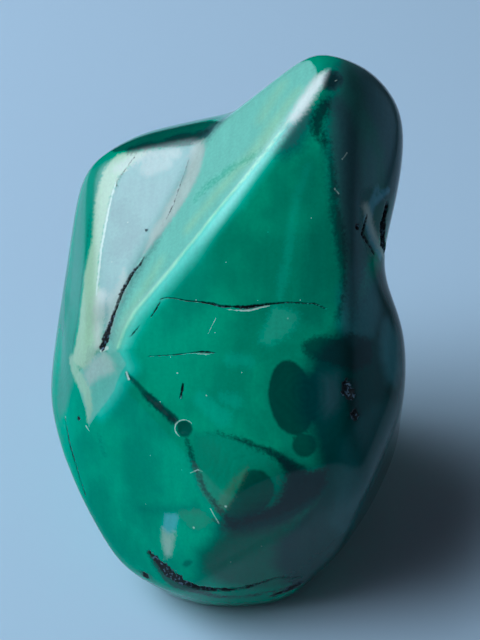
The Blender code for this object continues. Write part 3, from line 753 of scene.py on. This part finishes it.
# How far the clouds bend the rings of growth, in mm, and how wide and drawn out the fibres are
RING_WAVER = 9.0
FIBRE_WIDTH = 0.8
FIBRE_STRETCH = (1.0, 0.16, 0.16)
FIBRE_DETAIL = 4.0

# Brightness of the green, and what the rings, the fibres and the grain add to it
PLAIN_SHADE = 0.75
RING_SHADE = 0.05
FIBRE_SHADE = 0.22
GRAIN_SHADE = 0.28

# Edges of the chips and painted rim highlights, of the earth in cracks and of scuffed polish: softness
# and wobble in mm, and how much of the wobble is fine
CHIP_EDGE = (0.1, 0.16, 0.8)
EARTH_EDGE = (0.12, 0.3, 0.6)
SCUFF_EDGE = (0.6, 0.8, 0.6)

# Roughness of earth and scuffed polish, and depth in mm of the unevenness that hand polishing leaves
MATT_ROUGHNESS = 0.75
UNEVENNESS = 0.02

# Roughness and gloss of uncoated paper
PAPER_ROUGHNESS = 0.9
PAPER_GLOSS = 0.2

# Tones that cover the green, in the order they are laid: colour, then softness and wobble of the
# edge in mm, and how much of the wobble is fine. Several paint highlight, reflection, sheen or shade
TONES = (
    # Lighter teal green, partly painted reflection on the left side
    ("left green", "46947E", 0.9, 0.5, 0.3),
    # Painted highlight beside the crest and round the corner
    ("glow", "78E0C8", 1.7, 0.3, 0.1),
    # Pale mint, partly painted light on the flank and the corner
    ("mint", "86C4B0", 0.2, 0.25, 0.4),
    # Yellow green, beside the crest partly painted sheen
    ("yellow green", "A2CCA6", 1.3, 0.8, 0.4),
    # Painted highlight along the crest
    ("crest", "B0ECC6", 0.25, 0.3, 0.5),
    ("speckle", "5CAE90", 0.6, 1.6, 0.7),
    # Shelf's own colour, lightened as a painted reflection of the window
    ("shelf", "84AAA2", 0.5, 1.2, 0.6),
    # Cream of the mineral, and on the rim and the corner partly painted reflection and highlight
    ("cream", "AECCAC", 0.4, 0.9, 0.5),
    ("murky", "46866C", 0.6, 1.0, 0.5),
    # Deep green of eyes, veins and pits, and painted shade on the shoulder's top
    ("deep", "0C443A", 0.25, 0.25, 0.3),
    # Bottle green of a cloud on the back, and painted shade on the belly
    ("bottle green", "00604A", 1.4, 0.8, 0.3),
    # Painted shade on the right side, the head and the eye, and the dark of real veins and the mass
    ("shade", "0C3A38", 1.6, 0.8, 0.2),
    # Teal of the mineral, and painted reflection on the rims of the head and shoulder and by the neck
    ("teal", "528688", 1.2, 0.8, 0.2),
    # Slate of the mineral, partly painted shade and reflection on the head, ridge, shelf and valley
    ("slate", "3C5458", 1.4, 1.2, 0.6),
    ("tan", "5E7860", 0.5, 1.2, 0.5),
    # Painted bluish sheen and highlight
    ("painted bluish sheen", "8CC4D4", 0.4, 0.5, 0.6),
    ("pale", "C0CEC0", 0.7, 0.9, 0.6),
    ("brown", "14282A", 0.5, 1.0, 0.6),
)


def wavering_edge(tree, tone, edge, coarse, fine):
    """How much a tone covers each place: its strength, fading over an edge that wavers."""
    soft, wobble, fineness = edge
    gap, strength = (add_node(tree, "ShaderNodeAttribute", {"attribute_name": name}).outputs["Fac"]
                     for name in (tone, f"{tone} strength"))
    for noise, share in ((coarse, 1.0 - fineness), (fine, fineness)):
        gap = add_node(tree, "ShaderNodeMath", MULTIPLY_ADD, {
            0: noise, 1: 2.0 * wobble * share, 2: gap}).outputs[0]
    return add_node(tree, "ShaderNodeMapRange", SMOOTH_STEP, {
        "Value": gap, "From Min": soft, "From Max": -soft, "To Min": 0.0, "To Max": strength}).outputs[0]


def growth_shade(tree, place, clouds, grain, spacing):
    """Light and dark of the rings of growth, the fibres and the grain, about 1."""
    distance, strength = (add_node(tree, "ShaderNodeAttribute", {"attribute_name": name}).outputs["Fac"]
                          for name in ("ring distance", "ring strength"))
    waver = add_node(tree, "ShaderNodeMath", MULTIPLY_ADD, {
        0: clouds, 1: RING_WAVER, 2: distance}).outputs[0]
    turns = add_node(tree, "ShaderNodeMath", MULTIPLY, {
        0: waver, 1: 2.0 * math.pi / spacing * MM}).outputs[0]
    wave = add_node(tree, "ShaderNodeMath", {"operation": "SINE"}, {0: turns}).outputs[0]
    rings = add_node(tree, "ShaderNodeMath", MULTIPLY, {0: wave, 1: strength}).outputs[0]
    stretched = add_node(tree, "ShaderNodeMapping", inputs={
        "Vector": place, "Scale": FIBRE_STRETCH}).outputs[0]
    fibres = add_node(tree, "ShaderNodeTexNoise", inputs={
        "Vector": stretched, "Scale": 1.0 / (FIBRE_WIDTH * MM), "Detail": FIBRE_DETAIL}).outputs[0]
    shade = PLAIN_SHADE
    for part, share in ((rings, RING_SHADE), (fibres, FIBRE_SHADE), (grain, GRAIN_SHADE)):
        shade = add_node(tree, "ShaderNodeMath", MULTIPLY_ADD, {0: part, 1: share, 2: shade}).outputs[0]
    return shade


def polished_malachite(settings):
    """Malachite, ground and polished: a wet gloss over opaque green with soft clouds and bands."""
    material = bpy.data.materials.new("polished malachite")
    material.use_nodes = True
    tree = material.node_tree
    shader = tree.nodes["Principled BSDF"]
    shader.inputs["IOR"].default_value = settings.refractive_index
    place = add_node(tree, "ShaderNodeTexCoord").outputs["Object"]
    clouds, patches, grain = (add_node(tree, "ShaderNodeTexNoise", inputs={
        "Vector": place, "Scale": 1.0 / (size * MM), "Detail": detail}).outputs[0]
        for size, detail in NOISES)
    # Both noises about 0, to move an edge either way
    coarse, fine = (add_node(tree, "ShaderNodeMath", {"operation": "SUBTRACT"}, {
        0: value, 1: 0.5}).outputs[0] for value in (patches, grain))
    share = add_node(tree, "ShaderNodeMapRange", SMOOTH_STEP, {
        "Value": clouds, "From Min": CLOUD_RANGE[0], "From Max": CLOUD_RANGE[1]}).outputs[0]
    colour = add_node(tree, "ShaderNodeMix", MIX_COLOURS, {
        0: share, 6: settings.green, 7: settings.dark_green}).outputs[2]
    # Some tones paint highlights, reflections, sheen and shade into the colour
    for tone, code, *edge in TONES:
        cover = wavering_edge(tree, tone, edge, coarse, fine)
        colour = add_node(tree, "ShaderNodeMix", MIX_COLOURS, {
            0: cover, 6: colour, 7: linear(code)}).outputs[2]
    shade = growth_shade(tree, place, clouds, grain, settings.ring_spacing)
    colour = add_node(tree, "ShaderNodeVectorMath", {"operation": "SCALE"}, {
        0: colour, "Scale": shade}).outputs[0]
    # Pale chips and painted highlights on rims, then dark earth with paler grit in it
    chips = wavering_edge(tree, "chip", CHIP_EDGE, coarse, fine)
    cracks = wavering_edge(tree, "flaw", EARTH_EDGE, coarse, fine)
    grit = add_node(tree, "ShaderNodeMapRange", SMOOTH_STEP, {
        "Value": fine, "From Min": GRIT_RANGE[0], "From Max": GRIT_RANGE[1]}).outputs[0]
    earth = add_node(tree, "ShaderNodeMix", MIX_COLOURS, {
        0: grit, 6: settings.crack_colour, 7: settings.grit_colour}).outputs[2]
    for cover, above in ((chips, settings.chip_and_highlight_colour), (cracks, earth)):
        colour = add_node(tree, "ShaderNodeMix", MIX_COLOURS, {0: cover, 6: colour, 7: above}).outputs[2]
    tree.links.new(colour, shader.inputs["Base Color"])
    # Gloss on the polish, matt in cracks and on scuffed places
    scuffs = wavering_edge(tree, "scuff", SCUFF_EDGE, coarse, fine)
    matt = add_node(tree, "ShaderNodeMath", {"operation": "MAXIMUM"}, {0: cracks, 1: scuffs}).outputs[0]
    rough = add_node(tree, "ShaderNodeMapRange", inputs={
        "Value": matt, "To Min": settings.polish_roughness, "To Max": MATT_ROUGHNESS}).outputs[0]
    tree.links.new(rough, shader.inputs["Roughness"])
    uneven = add_node(tree, "ShaderNodeBump", inputs={
        "Height": patches, "Distance": UNEVENNESS * MM}).outputs[0]
    tree.links.new(uneven, shader.inputs["Normal"])
    return material


def plain_paper(settings):
    """Plain pale floor, matt like uncoated paper."""
    material = bpy.data.materials.new("pale paper floor")
    material.use_nodes = True
    shader = material.node_tree.nodes["Principled BSDF"]
    shader.inputs["Base Color"].default_value = settings.floor_colour
    shader.inputs["Roughness"].default_value = PAPER_ROUGHNESS
    shader.inputs["Specular IOR Level"].default_value = PAPER_GLOSS
    return material


def colour_setting(name, description, code):
    """A colour in the panel, with its first value as an sRGB hex code."""
    return bpy.props.FloatVectorProperty(
        name=name, description=description, subtype="COLOR", size=4, min=0.0, max=1.0,
        default=linear(code))


class StoneSettings(bpy.types.PropertyGroup):
    """Finish of the stone."""

    green: colour_setting("Green", "Main colour of the malachite", "14A07C")
    dark_green: colour_setting("Darker green", "Colour of the darker clouds", "0E8A6C")
    crack_colour: colour_setting(
        "Crack colour", "Colour of the earth in open cracks and pits", "10191A")
    grit_colour: colour_setting(
        "Grit colour", "Colour of the paler grains in the earth of the cracks", "5A707C")
    # Also the colour of the painted highlights on rims
    chip_and_highlight_colour: colour_setting(
        "Chip colour", "Colour of the pale crushed mineral of fine chips and scratches", "C4DCCB")
    polish_roughness: bpy.props.FloatProperty(
        name="Polish roughness", description="Roughness of the polished faces",
        min=0.0, max=1.0, default=0.12)
    refractive_index: bpy.props.FloatProperty(
        name="Refractive index",
        description="Malachite has 1.66 to 1.91; lower here, because this polish mirrors weakly",
        min=1.0, max=3.0, default=1.42)
    ring_spacing: bpy.props.FloatProperty(
        name="Ring spacing", description="Distance between growth rings",
        unit="LENGTH", min=0.0, default=1.1 * MM)


class StageSettings(bpy.types.PropertyGroup):
    """Floor, light and camera."""

    floor_colour: colour_setting("Floor colour", "Colour of the pale paper", "C2D8E2")
    floor_size: bpy.props.FloatProperty(
        name="Floor size", description="Length of the floor's sides",
        unit="LENGTH", min=0.1, default=0.9)
    light_distance: bpy.props.FloatProperty(
        name="Light distance", description="Distance of the lights from the stone",
        unit="LENGTH", min=0.1, default=1.2)
    light_strength: bpy.props.FloatProperty(
        name="Light strength", description="Factor on the power of every light",
        min=0.0, default=1.0)
    room_colour: colour_setting("Room colour", "Weak light from all round", "3A383E")
    camera_distance: bpy.props.FloatProperty(
        name="Camera distance", description="Distance of the camera from the middle of the stone",
        unit="LENGTH", min=0.05, default=150.0 * MM)
    camera_tilt: bpy.props.FloatProperty(
        name="Camera tilt", description="Height of the camera above the horizon",
        default=42.0)
    lens: bpy.props.FloatProperty(
        name="Lens", description="Focal length for a 36 mm sensor",
        unit="CAMERA", min=10.0, default=60.0)


class STONE_OT_build_stone(bpy.types.Operator):
    """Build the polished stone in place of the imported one"""

    bl_idname = "stone.build_stone"
    bl_label = "Build stone"
    bl_options = {"REGISTER", "UNDO"}

    def execute(self, context):
        data = stone_data()
        data.materials.append(polished_malachite(context.scene.stone_finish))
        stone = bpy.data.objects.new("polished_stone", data)
        context.scene.collection.objects.link(stone)
        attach(stone, "root")
        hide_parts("stone")
        return {"FINISHED"}


class STONE_OT_build_stage(bpy.types.Operator):
    """Lay the floor, hang the lights and set the camera"""

    bl_idname = "stone.build_stage"
    bl_label = "Build stage"
    bl_options = {"REGISTER", "UNDO"}

    def execute(self, context):
        settings = context.scene.stone_stage
        middle = Vector(CAMERA_AIM) * MM
        build_floor(context.scene, settings)
        for name, light in LIGHTS.items():
            hang_light(context.scene, settings, middle, name, light)
        build_room(context.scene, settings)
        build_camera(context.scene, settings, middle)
        enrich_colours(context.scene)
        return {"FINISHED"}


# Middle of the camera's view, in mm, and how far the picture is shifted, as shares of its long side
CAMERA_AIM = (0.147, -1.544, 36.0)
CAMERA_SHIFT = (11.0 / 640.0, 10.0 / 640.0)

# Bluish daylight
DAYLIGHT = (0.88, 0.97, 1.15)

# Lights: heading, tilt, width and height in metres, power in watts, colour
LIGHTS = {
    "window": (-97.0, 50.0, 1.5, 1.2, 51.0, DAYLIGHT),
    "low reflector": (-72.0, 30.0, 1.2, 0.75, 3.5, DAYLIGHT),
    "side reflector": (100.0, 6.0, 1.6, 0.5, 1.0, (0.6, 1.0, 1.4)),
}

# Share of a light's width and height over which it fades at each side
LIGHT_FADE = 0.45

# How much richer the picture's colours are than plain light gives
COLOUR_RICHNESS = 1.18

# Width of the camera's sensor, in mm
SENSOR_WIDTH = 36.0


def build_floor(scene, settings):
    """A flat pale floor under the foot."""
    half = settings.floor_size / 2.0
    data = bpy.data.meshes.new("floor")
    corners = [(-half, -half, 0.0), (half, -half, 0.0), (half, half, 0.0), (-half, half, 0.0)]
    data.from_pydata(corners, [], [(0, 1, 2, 3)])
    data.materials.append(plain_paper(settings))
    floor = bpy.data.objects.new("floor", data)
    scene.collection.objects.link(floor)


def hang_light(scene, settings, middle, name, light):
    """A rectangular light turned to the stone, that fades towards its sides."""
    heading, tilt, width, height, power, colour = light
    data = bpy.data.lights.new(name, "AREA")
    data.shape = "RECTANGLE"
    data.size = width
    data.size_y = height
    data.energy = power * settings.light_strength
    data.color = colour
    data.use_nodes = True
    tree = data.node_tree
    spread = add_node(tree, "ShaderNodeSeparateXYZ", inputs={
        0: add_node(tree, "ShaderNodeNewGeometry").outputs["Parametric"]})
    across, along = (add_node(tree, "ShaderNodeMapRange", SMOOTH_STEP, {
        "Value": add_node(tree, "ShaderNodeMath", {"operation": "PINGPONG"}, {
            0: spread.outputs[axis], 1: 0.5}).outputs[0],
        "From Max": LIGHT_FADE}).outputs[0] for axis in (0, 1))
    bright = add_node(tree, "ShaderNodeMath", MULTIPLY, {0: across, 1: along}).outputs[0]
    tree.links.new(bright, tree.nodes["Emission"].inputs["Strength"])
    lamp = bpy.data.objects.new(name, data)
    toward = Vector(direction(heading, tilt))
    lamp.location = middle + toward * settings.light_distance
    lamp.rotation_euler = toward.to_track_quat("Z", "Y").to_euler()
    scene.collection.objects.link(lamp)


def build_room(scene, settings):
    """Weak light from all round."""
    world = bpy.data.worlds.new("room")
    world.use_nodes = True
    world.node_tree.nodes["Background"].inputs["Color"].default_value = settings.room_colour
    scene.world = world


def build_camera(scene, settings, middle):
    """A camera that looks down at the front of the stone."""
    data = bpy.data.cameras.new("camera")
    data.lens = settings.lens
    data.sensor_width = SENSOR_WIDTH
    data.shift_x, data.shift_y = CAMERA_SHIFT
    camera = bpy.data.objects.new("camera", data)
    camera.location = middle + Vector(direction(0.0, settings.camera_tilt)) * settings.camera_distance
    camera.rotation_euler = (math.radians(90.0 - settings.camera_tilt), 0.0, 0.0)
    scene.collection.objects.link(camera)
    scene.camera = camera
    scene.view_settings.view_transform = "Standard"


def enrich_colours(scene):
    """Richer colours in the finished picture, as a vivid camera setting gives."""
    scene.use_nodes = True
    tree = scene.node_tree
    tree.nodes.clear()
    picture = add_node(tree, "CompositorNodeRLayers")
    rich = add_node(tree, "CompositorNodeHueSat", inputs={
        "Image": picture.outputs["Image"], "Saturation": COLOUR_RICHNESS})
    add_node(tree, "CompositorNodeComposite", inputs={"Image": rich.outputs["Image"]})


class STONE_PT_panel(bpy.types.Panel):
    """Buttons that build the stone and its stage"""

    bl_label = "Malachite stone"
    bl_idname = "STONE_PT_panel"
    bl_space_type = "VIEW_3D"
    bl_region_type = "UI"
    bl_category = "Stone"

    def draw(self, context):
        for group in (context.scene.stone_finish, context.scene.stone_stage):
            for name in group.__annotations__:
                self.layout.prop(group, name)
        self.layout.operator("stone.build_stone")
        self.layout.operator("stone.build_stage")


CLASSES = (StoneSettings, StageSettings, STONE_OT_build_stone, STONE_OT_build_stage, STONE_PT_panel)


def register():
    """Add the classes and their settings."""
    for kind in CLASSES:
        bpy.utils.register_class(kind)
    bpy.types.Scene.stone_finish = bpy.props.PointerProperty(type=StoneSettings)
    bpy.types.Scene.stone_stage = bpy.props.PointerProperty(type=StageSettings)


def unregister():
    """Take the classes and their settings away."""
    del bpy.types.Scene.stone_stage
    del bpy.types.Scene.stone_finish
    for kind in reversed(CLASSES):
        bpy.utils.unregister_class(kind)


def main():
    """Build the stone and its stage."""
    register()
    bpy.ops.stone.build_stone()
    bpy.ops.stone.build_stage()


if __name__ == "__main__":
    main()
